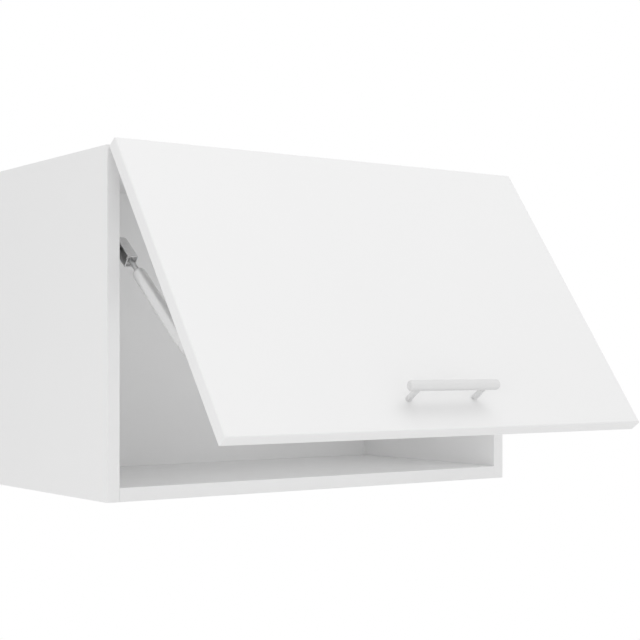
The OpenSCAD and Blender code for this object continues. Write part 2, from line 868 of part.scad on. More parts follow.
// The folded steel end fitting: a hood with a round head and an end wall, open towards the side panel
module strut_fitting(side) {
    wall_mid = end_wall_z + fitting_t / 2;
    on_strut(side) difference() {
        fitting_hood(side, 0);
        difference() {
            fitting_hood(side, fitting_t);
            pin_x(boss_d - 1, 2 * fitting_w);
            translate([0, 0, wall_mid]) cube([2 * fitting_w, 2 * fitting_h, fitting_t], center = true);
        }
        translate([0, 0, wall_mid])
            cylinder(d = neck_d + 2 * stud_hole_play, h = 2 * fitting_t, center = true);
    }
}

module left_strut_fitting() {
    color(dark_steel) strut_fitting(-1);
}

module right_strut_fitting() {
    color(dark_steel) strut_fitting(1);
}

// The threaded stud that joins the fitting to the tube, with the nut inside the fitting
module strut_stud(side) {
    wall_top = end_wall_z + fitting_t;
    on_strut(side) union() {
        translate([0, 0, -tube_start]) cylinder(d = neck_d, h = tube_start + wall_top + stud_thread);
        translate([0, 0, wall_top]) cylinder(d = nut_d, h = nut_h, $fn = 6);
    }
}

module left_strut_stud() {
    color(steel) strut_stud(-1);
}

module right_strut_stud() {
    color(steel) strut_stud(1);
}

// The tube: closed by a rounded shoulder above, open for the gland below
module strut_tube(side) {
    r = tube_d / 2;
    bore_r = r - tube_wall;
    floor_z = 3;
    roll_r = 0.7;
    roll_z = tube_l - 1.3;
    on_strut(side) translate([0, 0, -tube_start]) rotate([180, 0, 0]) difference() {
        rotate_extrude() union() {
            translate([0, shoulder]) square([r, roll_z - shoulder]);
            square([r - shoulder, shoulder]);
            intersection() {
                translate([r - shoulder, shoulder]) circle(shoulder);
                square([r, shoulder]);
            }
            polygon([[0, roll_z], [r, roll_z], [r - roll_r, tube_l], [0, tube_l]]);
        }
        translate([0, 0, floor_z]) cylinder(r = bore_r, h = tube_l);
    }
}

module left_strut_tube() {
    color(steel) strut_tube(-1);
}

module right_strut_tube() {
    color(steel) strut_tube(1);
}

// The ring that guides the rod at the tube's lower end
module strut_gland(side) {
    on_strut(side) translate([0, 0, -tube_end]) difference() {
        cylinder(r = tube_d / 2 - tube_wall - hole_play, h = gland_l);
        translate([0, 0, -cut]) cylinder(r = rod_d / 2 + run_play, h = gland_l + 2 * cut);
    }
}

module left_strut_gland() {
    color(dark_steel) strut_gland(-1);
}

module right_strut_gland() {
    color(dark_steel) strut_gland(1);
}

// The piston rod with the piston on its inner end
module strut_rod(side) {
    on_strut(side) translate([0, 0, -strut_run + rod_end_reach]) union() {
        cylinder(d = rod_d, h = rod_l);
        translate([0, 0, rod_l - piston_l]) cylinder(r = tube_d / 2 - tube_wall - run_play, h = piston_l);
    }
}

module left_strut_rod() {
    color(steel) strut_rod(-1);
}

module right_strut_rod() {
    color(steel) strut_rod(1);
}

// The eye on the rod that turns on the foot's pin
module rod_end(side) {
    on_strut(side) translate([0, 0, -strut_run]) difference() {
        union() {
            pin_x(2 * rod_end_r, rod_end_w);
            cylinder(d = rod_end_neck, h = rod_end_reach);
        }
        pin_x(foot_pin_d + 2 * run_play, rod_end_w + 1);
    }
}

module left_rod_end() {
    color(dark_steel) rod_end(-1);
}

module right_rod_end() {
    color(dark_steel) rod_end(1);
}

// The angle bracket on the door: a screwed plate, an ear and the pin that carries the rod end
module foot_bracket(side) {
    ear_x = rod_end_w / 2 + ear_gap + bracket_t / 2;
    ear_w = 14;
    cap_t = 1.2;
    cap_d = foot_pin_d + 3;
    cap_x = rod_end_w / 2 + ear_gap + cap_t / 2;
    pin_l = ear_x + bracket_t / 2 + cap_x + cap_t / 2;
    corner_x = foot_plate_w / 2 - foot_plate_r;
    corner_z = foot_plate_l / 2 - foot_plate_r;
    on_door() difference() {
        union() {
            translate([side * foot_plate_x, bracket_t / 2, foot_plate_z]) union() {
                cube([foot_plate_w, bracket_t, 2 * corner_z], center = true);
                cube([2 * corner_x, bracket_t, foot_plate_l], center = true);
                for (sx = [-1, 1], sz = [-1, 1])
                    translate([sx * corner_x, 0, sz * corner_z]) rotate([90, 0, 0])
                        cylinder(r = foot_plate_r, h = bracket_t, center = true);
            }
            translate([side * (strut_x - ear_x), 0, foot_plate_z]) union() {
                translate([0, strut_foot_off, 0]) pin_x(ear_w, bracket_t);
                translate([0, strut_foot_off / 2, 0])
                    cube([bracket_t, strut_foot_off, ear_w], center = true);
            }
            translate([side * (strut_x + (cap_x + cap_t / 2 - ear_x - bracket_t / 2) / 2), strut_foot_off,
                foot_plate_z]) pin_x(foot_pin_d, pin_l);
            translate([side * (strut_x + cap_x), strut_foot_off, foot_plate_z]) pin_x(cap_d, cap_t);
        }
        for (z = foot_screw_zs)
            translate([side * foot_plate_x, 0, z]) rotate([90, 0, 0])
                cylinder(d = small_screw_d + 2 * hole_play, h = 4 * bracket_t, center = true);
    }
}

module left_foot_bracket() {
    color(dark_steel) foot_bracket(-1);
}

module right_foot_bracket() {
    color(dark_steel) foot_bracket(1);
}

module foot_screws() {
    head_d = 7;
    head_h = 1.8;
    color(steel) on_door() for (side = [-1, 1], z = foot_screw_zs)
        translate([side * foot_plate_x, bracket_t, z]) rotate([-90, 0, 0])
            screw(small_screw_d, small_screw_l, head_d, head_h);
}

left_side();
right_side();
top_panel();
bottom_panel();
back_panel();
left_edge_band();
right_edge_band();
top_edge_band();
bottom_edge_band();
cam_housings();
cam_bolts();
dowels();
left_hanger();
right_hanger();
left_hook();
right_hook();
hanger_adjusters();
door_panel();
door_bumpers();
handle_bar();
left_handle_post();
right_handle_post();
handle_screws();
left_hinge_cup();
right_hinge_cup();
cup_screws();
left_hinge_arm();
right_hinge_arm();
left_hinge_link();
right_hinge_link();
left_hinge_plate();
right_hinge_plate();
plate_screws();
left_strut_bracket();
right_strut_bracket();
strut_bracket_screws();
left_strut_fitting();
right_strut_fitting();
left_strut_stud();
right_strut_stud();
left_strut_tube();
right_strut_tube();
left_strut_gland();
right_strut_gland();
left_strut_rod();
right_strut_rod();
left_rod_end();
right_rod_end();
left_foot_bracket();
right_foot_bracket();
foot_screws();
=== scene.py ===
import json
import math

import bmesh
import bpy
from mathutils import Matrix, Vector

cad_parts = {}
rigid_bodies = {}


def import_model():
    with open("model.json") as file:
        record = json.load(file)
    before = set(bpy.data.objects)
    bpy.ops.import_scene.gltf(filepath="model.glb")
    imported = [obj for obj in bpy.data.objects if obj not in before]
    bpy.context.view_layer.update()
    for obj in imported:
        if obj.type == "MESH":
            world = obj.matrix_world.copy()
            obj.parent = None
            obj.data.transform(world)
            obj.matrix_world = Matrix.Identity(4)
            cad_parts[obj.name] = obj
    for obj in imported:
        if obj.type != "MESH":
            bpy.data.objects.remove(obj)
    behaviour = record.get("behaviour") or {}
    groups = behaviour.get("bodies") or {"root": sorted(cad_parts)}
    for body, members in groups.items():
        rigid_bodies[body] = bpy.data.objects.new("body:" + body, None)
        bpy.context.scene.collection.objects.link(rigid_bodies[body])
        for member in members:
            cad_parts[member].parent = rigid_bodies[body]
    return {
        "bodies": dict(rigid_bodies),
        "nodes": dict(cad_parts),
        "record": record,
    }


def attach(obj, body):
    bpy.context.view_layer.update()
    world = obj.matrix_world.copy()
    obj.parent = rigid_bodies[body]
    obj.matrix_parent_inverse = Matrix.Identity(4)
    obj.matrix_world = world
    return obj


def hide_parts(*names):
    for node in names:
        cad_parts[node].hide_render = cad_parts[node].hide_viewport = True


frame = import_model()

# Kitchen wall cabinet: a white carcass, a flap door on gas struts and a satin bar handle.
# Metres, in the frame of the CAD: +X right, +Y towards the wall, +Z up, the door on the -Y side.

for leftover in [o for o in bpy.data.objects if o.type in {"CAMERA", "LIGHT"} or o.name == "Cube"]:
    bpy.data.objects.remove(leftover)
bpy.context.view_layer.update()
nodes = frame["nodes"]
scene = bpy.context.scene
mm = 0.001
sides = {"left": -1, "right": 1}

# Where the moving pieces sit, the same values as in the part's source, in mm and degrees
door = {"hinge": (0, -151.5, 398), "open": 35.3, "height": 396, "thick": 16}
strut = {"pivot": (268, -120.5, 292.3), "run": 272.01, "lean": 51.17}
hingeArm = {"pivot": (200, -156.5, 384.4)}


def shift(x, y, z):
    return Matrix.Translation(Vector((x, y, z)) * mm)


def turn(axis, degrees):
    return Matrix.Rotation(math.radians(degrees), 4, axis)


onDoor = shift(*door["hinge"]) @ turn("X", -door["open"])  # -Z runs down the door, +Y is its back


def onStrut(sign):  # -Z runs down the strut
    x, y, z = strut["pivot"]
    return shift(sign * x, y, z) @ turn("X", -strut["lean"])


def onHinge(sign):
    x, y, z = hingeArm["pivot"]
    return shift(sign * x, y, z)


# Short ways to make and join shader nodes
def addNode(tree, kind, **values):
    node = tree.nodes.new(kind)
    for key, value in values.items():
        setattr(node, key, value)
    return node


def feed(tree, socket, value):  # an output is linked, a number or colour is set
    if isinstance(value, bpy.types.NodeSocket):
        tree.links.new(value, socket)
    else:
        socket.default_value = value


def maths(tree, operation, *values):
    node = addNode(tree, "ShaderNodeMath", operation=operation)
    for socket, value in zip(node.inputs, values):
        feed(tree, socket, value)
    return node.outputs[0]


def ramp(tree, value, low, high):  # 0 below low, 1 above high
    node = addNode(tree, "ShaderNodeMapRange", interpolation_type="SMOOTHSTEP")
    feed(tree, node.inputs["Value"], value)
    feed(tree, node.inputs["From Min"], low)
    feed(tree, node.inputs["From Max"], high)
    return node.outputs["Result"]


def spread(tree, value, low, high):  # a 0 to 1 value laid over a range
    node = addNode(tree, "ShaderNodeMapRange")
    feed(tree, node.inputs["Value"], value)
    feed(tree, node.inputs["To Min"], low)
    feed(tree, node.inputs["To Max"], high)
    return node.outputs["Result"]


def noise(tree, vector, scale, detail, roughness):
    node = addNode(tree, "ShaderNodeTexNoise")
    feed(tree, node.inputs["Vector"], vector)
    feed(tree, node.inputs["Scale"], scale)
    feed(tree, node.inputs["Detail"], detail)
    feed(tree, node.inputs["Roughness"], roughness)
    return node.outputs["Fac"]


def splitAxes(tree, vector):
    node = addNode(tree, "ShaderNodeSeparateXYZ")
    feed(tree, node.inputs[0], vector)
    return node.outputs


def coordinates(tree, kind="Object"):
    return addNode(tree, "ShaderNodeTexCoord").outputs[kind]


def blendValues(tree, first, second, share):
    part = maths(tree, "MULTIPLY", first, share)
    rest = maths(tree, "MULTIPLY", second, 1 - share)
    return maths(tree, "ADD", part, rest)


def blendColours(tree, mask, first, second):
    mix = addNode(tree, "ShaderNodeMix", data_type="RGBA")
    feed(tree, mix.inputs["Factor"], mask)
    feed(tree, mix.inputs["A"], first)
    feed(tree, mix.inputs["B"], second)
    return mix.outputs["Result"]


def blendShaders(tree, mask, first, second):
    mix = addNode(tree, "ShaderNodeMixShader")
    for socket, value in zip(mix.inputs, (mask, first, second)):
        feed(tree, socket, value)
    return mix.outputs[0]


def grey(value):
    return (value, value, value, 1) if isinstance(value, (int, float)) else (*value, 1)


def startMaterial(name, **sockets):
    material = bpy.data.materials.new(name)
    material.use_nodes = True
    tree = material.node_tree
    body = tree.nodes["Principled BSDF"]
    for label, value in sockets.items():
        feed(tree, body.inputs[label.replace("_", " ")], value)
    return material, tree, body


# Camera, world, lamps and floor. The frame edges crop the cabinet as the photograph does.
photoCamera = {
    "place": (-1.05972, -1.59313, 0.16159),
    "turn": -35.339,
    "lens": 81.58,
    "sensor": 36,
    "shift": (0.03125, 0.05957),
}
studio = {
    "skyLight": 0.745,  # what lights the object
    "skySeen": 1.0,  # what the camera and shiny surfaces see
    "lampAim": (0, -0.1, 0.2),
    "floorDrop": 0.45,  # the cabinet hangs this far above the floor
    "floorRadius": 40,
    "floorColour": 0.95,
    "floorRough": 0.9,
    "floorGloss": 0.1,
    "fadeFrom": 0.6,  # the floor melts into the white backdrop between these distances
    "fadeTo": 1.0,
}
lamps = {
    "topLamp": {"place": (0.25, -1.5, 2.8), "size": 2.4, "power": 17.8},
    "leftLamp": {"place": (-2.0, -1.6, 0.1), "size": 1.2, "power": 5.5},
}
doorFill = {"size": (0.5, 0.35), "behind": 20, "down": 170, "power": 0.288}  # light off the door's back


def seenRays(tree):  # 1 where a camera, glossy or transmission ray looks
    path = addNode(tree, "ShaderNodeLightPath").outputs
    direct = maths(tree, "MAXIMUM", path["Is Camera Ray"], path["Is Glossy Ray"])
    return maths(tree, "MAXIMUM", direct, path["Is Transmission Ray"])


def makeCamera():
    data = bpy.data.cameras.new("photoCamera")
    data.lens = photoCamera["lens"]
    data.sensor_width = photoCamera["sensor"]
    data.shift_x, data.shift_y = photoCamera["shift"]
    camera = bpy.data.objects.new("photoCamera", data)
    camera.location = photoCamera["place"]
    camera.rotation_euler = (math.radians(90), 0, math.radians(photoCamera["turn"]))
    scene.collection.objects.link(camera)
    scene.camera = camera


def makeWorld():
    world = bpy.data.worlds.new("whiteStudio")
    scene.world = world
    world.use_nodes = True
    tree = world.node_tree
    tree.nodes.clear()
    skies = []
    for strength in (studio["skyLight"], studio["skySeen"]):
        sky = addNode(tree, "ShaderNodeBackground")
        sky.inputs["Color"].default_value = grey(1)
        sky.inputs["Strength"].default_value = strength
        skies.append(sky.outputs[0])
    out = addNode(tree, "ShaderNodeOutputWorld")
    feed(tree, out.inputs["Surface"], blendShaders(tree, seenRays(tree), *skies))


def addLamp(name, data, matrix):
    lamp = bpy.data.objects.new(name, data)
    lamp.matrix_world = matrix
    lamp.visible_camera = False
    lamp.visible_glossy = False
    scene.collection.objects.link(lamp)
    return lamp


def makeLamps():
    for name, lamp in lamps.items():
        data = bpy.data.lights.new(name, "AREA")
        data.shape = "DISK"
        data.size = lamp["size"]
        data.energy = lamp["power"]
        spot = Vector(lamp["place"])
        aim = (Vector(studio["lampAim"]) - spot).to_track_quat("-Z", "Y").to_matrix().to_4x4()
        addLamp(name, data, Matrix.Translation(spot) @ aim)
    data = bpy.data.lights.new("doorFill", "AREA")
    data.shape = "RECTANGLE"
    data.size, data.size_y = doorFill["size"]
    data.energy = doorFill["power"]
    behindDoor = onDoor @ shift(0, doorFill["behind"], -doorFill["down"])
    fill = addLamp("doorFill", data, behindDoor @ turn("X", 90))
    fill.parent = frame["bodies"]["door"]  # it stays behind the door at every pose


def makeFloor():
    mesh = bpy.data.meshes.new("studioFloor")
    bm = bmesh.new()
    bmesh.ops.create_circle(bm, cap_ends=True, segments=96, radius=studio["floorRadius"])
    bm.to_mesh(mesh)
    bm.free()
    floor = bpy.data.objects.new("studioFloor", mesh)
    floor.location = (0, 0, -studio["floorDrop"])
    scene.collection.objects.link(floor)
    material, tree, body = startMaterial("paleFloor", Base_Color=grey(studio["floorColour"]),
                                         Roughness=studio["floorRough"],
                                         Specular_IOR_Level=studio["floorGloss"])
    far = addNode(tree, "ShaderNodeVectorMath", operation="LENGTH")
    feed(tree, far.inputs[0], coordinates(tree))
    fade = ramp(tree, far.outputs["Value"], studio["fadeFrom"], studio["fadeTo"])
    white = addNode(tree, "ShaderNodeEmission")
    mask = maths(tree, "MULTIPLY", fade, seenRays(tree))
    surface = tree.nodes["Material Output"].inputs["Surface"]
    feed(tree, surface, blendShaders(tree, mask, body.outputs[0], white.outputs[0]))
    mesh.materials.append(material)


makeCamera()
makeWorld()
makeLamps()
makeFloor()
scene.view_settings.view_transform = "Standard"
print("studio: camera, world, %d lamps and floor" % (len(lamps) + 1))


# Shader groups that the finishes share. They put out only tones, masks and heights.
def newGroup(name, inputs, outputs):
    group = bpy.data.node_groups.new(name, "ShaderNodeTree")
    for label, value in inputs.items():
        socket = group.interface.new_socket(label, in_out="INPUT", socket_type="NodeSocketFloat")
        socket.default_value = value
    for label in outputs:
        group.interface.new_socket(label, in_out="OUTPUT", socket_type="NodeSocketFloat")
    return group, addNode(group, "NodeGroupInput").outputs, addNode(group, "NodeGroupOutput").inputs


def makeSurfaceGrain():  # a pebbled skin with a slow drift of tone under it
    group, given, out = newGroup("surfaceGrain", {"Pebble Scale": 900, "Drift Scale": 9},
                                 ("Tone", "Height"))
    spot = coordinates(group)
    pebble = noise(group, spot, given["Pebble Scale"], detail=3, roughness=0.55)
    drift = noise(group, spot, given["Drift Scale"], detail=2, roughness=0.5)
    feed(group, out["Tone"], blendValues(group, pebble, drift, share=0.35))
    feed(group, out["Height"], pebble)
    return group


def makeBrushedLines():  # fine lines from stretched noise, along the axis with the small factor
    group, given, out = newGroup("brushedLines",
                                 {"Along X": 1, "Along Y": 1, "Along Z": 1, "Line Scale": 2500},
                                 ("Tone", "Height"))
    stretch = addNode(group, "ShaderNodeCombineXYZ")
    for axis in "XYZ":
        feed(group, stretch.inputs[axis], given["Along " + axis])
    spot = coordinates(group)
    scaled = addNode(group, "ShaderNodeVectorMath", operation="MULTIPLY")
    feed(group, scaled.inputs[0], spot)
    feed(group, scaled.inputs[1], stretch.outputs[0])
    lines = noise(group, scaled.outputs[0], given["Line Scale"], detail=2, roughness=0.6)
    patches = noise(group, spot, scale=60, detail=2, roughness=0.5)
    feed(group, out["Tone"], blendValues(group, lines, patches, share=0.7))
    feed(group, out["Height"], lines)
    return group


def makeEdgeWearAndHighlight():  # where edges are rubbed, and a painted highlight: the edges are made lighter as if they caught the light
    group, given, out = newGroup("edgeWearAndHighlight", {"Amount": 0.5, "Patch Scale": 220}, ("Wear And Highlight",))
    shape = addNode(group, "ShaderNodeNewGeometry").outputs["Pointiness"]
    edge = ramp(group, shape, low=0.505, high=0.56)
    patches = noise(group, coordinates(group), given["Patch Scale"], detail=4, roughness=0.65)
    wornAndHighlight = maths(group, "MULTIPLY", edge, ramp(group, patches, low=0.35, high=0.7))
    feed(group, out["Wear And Highlight"], maths(group, "MULTIPLY", wornAndHighlight, given["Amount"]))
    return group


def makeSettledDust():  # a thin veil on what faces up
    group, given, out = newGroup("settledDust", {"Amount": 0.2}, ("Dust",))
    upward = ramp(group, splitAxes(group, coordinates(group, "Normal"))["Z"], low=0.6, high=1.0)
    patches = noise(group, coordinates(group), scale=45, detail=5, roughness=0.6)
    level = maths(group, "MULTIPLY", upward, ramp(group, patches, low=0.3, high=0.8))
    feed(group, out["Dust"], maths(group, "MULTIPLY", level, given["Amount"]))
    return group


def makeWoodChips():  # flakes and gaps of a sawn chipboard edge
    group, given, out = newGroup("woodChips", {"Chip Scale": 420}, ("Tone", "Height"))
    spot = coordinates(group)
    chips = addNode(group, "ShaderNodeTexVoronoi")
    feed(group, chips.inputs["Randomness"], 1)
    feed(group, chips.inputs["Vector"], spot)
    feed(group, chips.inputs["Scale"], given["Chip Scale"])
    flake = splitAxes(group, chips.outputs["Color"])["X"]
    fibre = noise(group, spot, scale=1500, detail=4, roughness=0.7)
    feed(group, out["Tone"], blendValues(group, flake, fibre, share=0.6))
    feed(group, out["Height"], maths(group, "SUBTRACT", fibre, chips.outputs["Distance"]))
    return group


groups = {
    "grain": makeSurfaceGrain(),
    "lines": makeBrushedLines(),
    "wearAndHighlight": makeEdgeWearAndHighlight(),
    "dust": makeSettledDust(),
    "chips": makeWoodChips(),
}
print("shader groups: %d" % len(groups))


def useGroup(tree, key, **values):
    node = addNode(tree, "ShaderNodeGroup", node_tree=groups[key])
    for label, value in values.items():
        feed(tree, node.inputs[label.replace("_", " ")], value)
    return node.outputs


def coverBody(tree, body, colour, rough, height, depth):
    feed(tree, body.inputs["Base Color"], colour)
    feed(tree, body.inputs["Roughness"], rough)
    bump = addNode(tree, "ShaderNodeBump")
    feed(tree, bump.inputs["Strength"], 1)
    feed(tree, bump.inputs["Distance"], depth)
    feed(tree, bump.inputs["Height"], height)
    feed(tree, body.inputs["Normal"], bump.outputs["Normal"])


# Coated boards, bands, foil and plastics: one recipe, each with its own colours, pebble and gloss.
# Depths of bumps are in metres.
coats = {
    "whiteMelamine": {
        "light": 0.91, "dark": 0.885, "rough": (0.42, 0.55), "pebble": 1100, "depth": 0.00003, "dust": 0.1,
    },
    "edgeBandWhite": {
        "light": 0.875, "dark": 0.85, "rough": (0.34, 0.44), "pebble": 1800, "depth": 0.00001, "dust": 0,
    },
    "doorFoilWhite": {
        "light": 0.91, "dark": 0.895, "rough": (0.36, 0.46), "pebble": 700, "depth": 0.00002, "dust": 0.04,
    },
    "hangerPlasticWhite": {
        "light": 0.86, "dark": 0.82, "rough": (0.35, 0.5), "pebble": 2600, "depth": 0.00003, "dust": 0.06,
    },
    "sealBlack": {
        "light": 0.035, "dark": 0.02, "rough": (0.4, 0.6), "pebble": 3000, "depth": 0.00002, "dust": 0,
    },
}
dustColour = (0.66, 0.66, 0.655, 1)
# The sawn rear edges of the panels, which meet the wall
rawBoard = {
    "from": 149.6 * mm,
    "light": (0.62, 0.45, 0.27),
    "dark": (0.33, 0.21, 0.11),
    "rough": 0.85,
    "depth": 0.0003,
}


def makeCoat(name, rawRear=False):
    spec = coats[name]
    material, tree, body = startMaterial(name)
    grain = useGroup(tree, "grain", Pebble_Scale=spec["pebble"])
    dust = useGroup(tree, "dust", Amount=spec["dust"])
    colour = blendColours(tree, grain["Tone"], grey(spec["dark"]), grey(spec["light"]))
    colour = blendColours(tree, dust["Dust"], colour, dustColour)
    rough = spread(tree, grain["Tone"], *spec["rough"])
    height = maths(tree, "MULTIPLY", grain["Height"], spec["depth"] / rawBoard["depth"])
    if rawRear:
        chips = useGroup(tree, "chips")
        raw = maths(tree, "GREATER_THAN", splitAxes(tree, coordinates(tree))["Y"], rawBoard["from"])
        wood = blendColours(tree, chips["Tone"], grey(rawBoard["dark"]), grey(rawBoard["light"]))
        colour = blendColours(tree, raw, colour, wood)
        rough = maths(tree, "MAXIMUM", rough, maths(tree, "MULTIPLY", raw, rawBoard["rough"]))
        height = maths(tree, "ADD", height, maths(tree, "MULTIPLY", raw, chips["Height"]))
    coverBody(tree, body, colour, rough, height, rawBoard["depth"])
    return material


# The thin back panel: white lacquer towards the room, bare brown fibre towards the wall
hardboard = {
    "whiteLight": 0.89,
    "whiteDark": 0.865,
    "brownLight": (0.36, 0.22, 0.12),
    "brownDark": (0.24, 0.14, 0.07),
    "pebble": 800,
    "fibre": 900,
    "rough": (0.45, 0.6),
    "wallFacing": 0.5,
    "pebbleShare": 0.25,  # of the bump's depth
    "depth": 0.0001,
}


def makeHardboard():
    material, tree, body = startMaterial("backHardboard")
    grain = useGroup(tree, "grain", Pebble_Scale=hardboard["pebble"])
    fibre = useGroup(tree, "chips", Chip_Scale=hardboard["fibre"])
    facing = splitAxes(tree, coordinates(tree, "Normal"))["Y"]
    rear = maths(tree, "GREATER_THAN", facing, hardboard["wallFacing"])
    white = blendColours(tree, grain["Tone"], grey(hardboard["whiteDark"]), grey(hardboard["whiteLight"]))
    brown = blendColours(tree, fibre["Tone"], grey(hardboard["brownDark"]), grey(hardboard["brownLight"]))
    height = maths(tree, "ADD", maths(tree, "MULTIPLY", grain["Height"], hardboard["pebbleShare"]),
                   maths(tree, "MULTIPLY", rear, fibre["Height"]))
    rough = spread(tree, grain["Tone"], *hardboard["rough"])
    coverBody(tree, body, blendColours(tree, rear, white, brown), rough, height, hardboard["depth"])
    return material


# Metals: brushed or pressed, with rubbed edges painted lighter, partly wear and partly a painted highlight
# along the edges. "stretch" is small along the lines.
metals = {
    "zincPlate": {
        "light": (0.67, 0.67, 0.675), "dark": (0.53, 0.53, 0.535), "rough": (0.28, 0.42), "metal": 1.0,
        "stretch": (1, 1, 1), "scale": 1400, "depth": 0.000004, "wornAndHighlight": (0.8, 0.8, 0.8), "wearAndHighlight": 0.5,
    },
    "greySteel": {
        "light": (0.61, 0.61, 0.613), "dark": (0.57, 0.57, 0.573), "rough": (0.42, 0.48), "metal": 0.25,
        "stretch": (1, 0.5, 0.5), "scale": 3400, "depth": 0.000001, "wornAndHighlight": (0.8, 0.8, 0.8), "wearAndHighlight": 0.3,
    },
    "nickelSteel": {
        "light": (0.72, 0.71, 0.69), "dark": (0.6, 0.59, 0.57), "rough": (0.2, 0.32), "metal": 1.0,
        "stretch": (1, 0.08, 0.08), "scale": 1800, "depth": 0.00002, "wornAndHighlight": (0.85, 0.84, 0.8), "wearAndHighlight": 0.5,
    },
    "handleSatin": {
        "light": (0.8, 0.8, 0.8), "dark": (0.72, 0.72, 0.72), "rough": (0.3, 0.42), "metal": 0.55,
        "stretch": (0.03, 1, 1), "scale": 2600, "depth": 0.00002, "wornAndHighlight": (0.9, 0.9, 0.9), "wearAndHighlight": 0.3,
    },
    "strutLacquer": {
        "light": (0.715, 0.715, 0.715), "dark": (0.69, 0.69, 0.69), "rough": (0.28, 0.33), "metal": 0.65,
        "stretch": (1, 1, 0.1), "scale": 5000, "depth": 0.000001, "wornAndHighlight": (0.8, 0.8, 0.8), "wearAndHighlight": 0.3,
    },
    "polishedRod": {
        "light": (0.82, 0.82, 0.82), "dark": (0.74, 0.74, 0.75), "rough": (0.08, 0.16), "metal": 1.0,
        "stretch": (1, 1, 0.05), "scale": 3000, "depth": 0.00001, "wornAndHighlight": (0.9, 0.9, 0.9), "wearAndHighlight": 0,
    },
}
rubbedGloss = 0.08  # rubbed edges are this much less rough


def makeMetal(name):
    spec = metals[name]
    material, tree, body = startMaterial(name, Metallic=spec["metal"])
    alongX, alongY, alongZ = spec["stretch"]
    lines = useGroup(tree, "lines", Along_X=alongX, Along_Y=alongY, Along_Z=alongZ, Line_Scale=spec["scale"])
    wearAndHighlight = useGroup(tree, "wearAndHighlight", Amount=spec["wearAndHighlight"])["Wear And Highlight"]
    colour = blendColours(tree, lines["Tone"], grey(spec["dark"]), grey(spec["light"]))
    # edges blended to the lighter worn colour: rubbed metal plus a painted highlight along the edges
    colour = blendColours(tree, wearAndHighlight, colour, grey(spec["wornAndHighlight"]))
    rough = spread(tree, lines["Tone"], *spec["rough"])
    rough = maths(tree, "SUBTRACT", rough, maths(tree, "MULTIPLY", wearAndHighlight, rubbedGloss))
    coverBody(tree, body, colour, rough, lines["Height"], spec["depth"])
    return material


beech = {
    "light": (0.74, 0.55, 0.34),
    "dark": (0.5, 0.32, 0.17),
    "rough": (0.55, 0.75),
    "stretch": 0.06,
    "scale": 1200,
    "depth": 0.0001,
}


def makeBeech():  # turned dowels with flecks along their length
    material, tree, body = startMaterial("beechDowel")
    lines = useGroup(tree, "lines", Along_X=beech["stretch"], Line_Scale=beech["scale"])
    colour = blendColours(tree, lines["Tone"], grey(beech["dark"]), grey(beech["light"]))
    rough = spread(tree, lines["Tone"], *beech["rough"])
    coverBody(tree, body, colour, rough, lines["Height"], beech["depth"])
    return material


softPlastic = {
    "light": 0.86,
    "dark": 0.78,
    "rough": (0.22, 0.36),
    "pebble": 1500,
    "drift": 200,
    "depth": 0.00001,
    "scatter": 0.4,
    "scatterScale": 2 * mm,
}


def makeSoftPlastic():  # clear, and scatters the white behind it
    material, tree, body = startMaterial("softBumper", Subsurface_Weight=softPlastic["scatter"],
                                         Subsurface_Scale=softPlastic["scatterScale"])
    grain = useGroup(tree, "grain", Pebble_Scale=softPlastic["pebble"], Drift_Scale=softPlastic["drift"])
    colour = blendColours(tree, grain["Tone"], grey(softPlastic["dark"]), grey(softPlastic["light"]))
    rough = spread(tree, grain["Tone"], *softPlastic["rough"])
    coverBody(tree, body, colour, rough, grain["Height"], softPlastic["depth"])
    return material


finishes = {
    "white_melamine": makeCoat("whiteMelamine", rawRear=True),
    "white_edge_band": makeCoat("edgeBandWhite"),
    "white_hardboard": makeHardboard(),
    "door_foil": makeCoat("doorFoilWhite"),
    "zinc_hardware": makeMetal("zincPlate"),
    "beech_dowel": makeBeech(),
    "hanger_plastic": makeCoat("hangerPlasticWhite"),
    "grey_steel": makeMetal("greySteel"),
    "nickel_steel": makeMetal("nickelSteel"),
    "handle_satin": makeMetal("handleSatin"),
    "bumper_soft": makeSoftPlastic(),
    "strut_lacquer": makeMetal("strutLacquer"),
    "black_seal": makeCoat("sealBlack"),
    "polished_rod": makeMetal("polishedRod"),
}
nodeSlots = {part["node"]: part["material_slot"] for part in frame["record"]["subparts"]}
for name, node in nodes.items():
    for index in range(len(node.data.materials)):
        node.data.materials[index] = finishes[nodeSlots[name]]
print("materials: %d finishes on %d nodes" % (len(finishes), len(nodes)))


# Small rounded edges on the CAD's solids, so that edges catch the light. Width of the rounding in mm,
# by how the node's name ends. The last ending that fits counts.
edgeWidths = {
    "side": 0.5, "panel": 0.5, "back_panel": 0.3, "hanger": 0.8, "hook": 0.3, "hinge_arm": 0.2,
    "hinge_link": 0.2, "hinge_plate": 0.25, "hinge_cup": 0.15, "bracket": 0.3, "rod_end": 0.4,
    "cam_housings": 0.2, "cam_bolts": 0.2, "adjusters": 0.2,
}
rounding = {"join": 0.005, "flatWithin": 0.6, "steps": 2, "cornerFrom": 40}  # mm and degrees


def makeSmoother():
    tree = bpy.data.node_groups.new("shadeSmooth", "GeometryNodeTree")
    for way in ("INPUT", "OUTPUT"):
        tree.interface.new_socket("Geometry", in_out=way, socket_type="NodeSocketGeometry")
    start = addNode(tree, "NodeGroupInput")
    smooth = addNode(tree, "GeometryNodeSetShadeSmooth")
    end = addNode(tree, "NodeGroupOutput")
    tree.links.new(start.outputs[0], smooth.inputs["Geometry"])
    tree.links.new(smooth.outputs["Geometry"], end.inputs[0])
    return tree


smoother = makeSmoother()


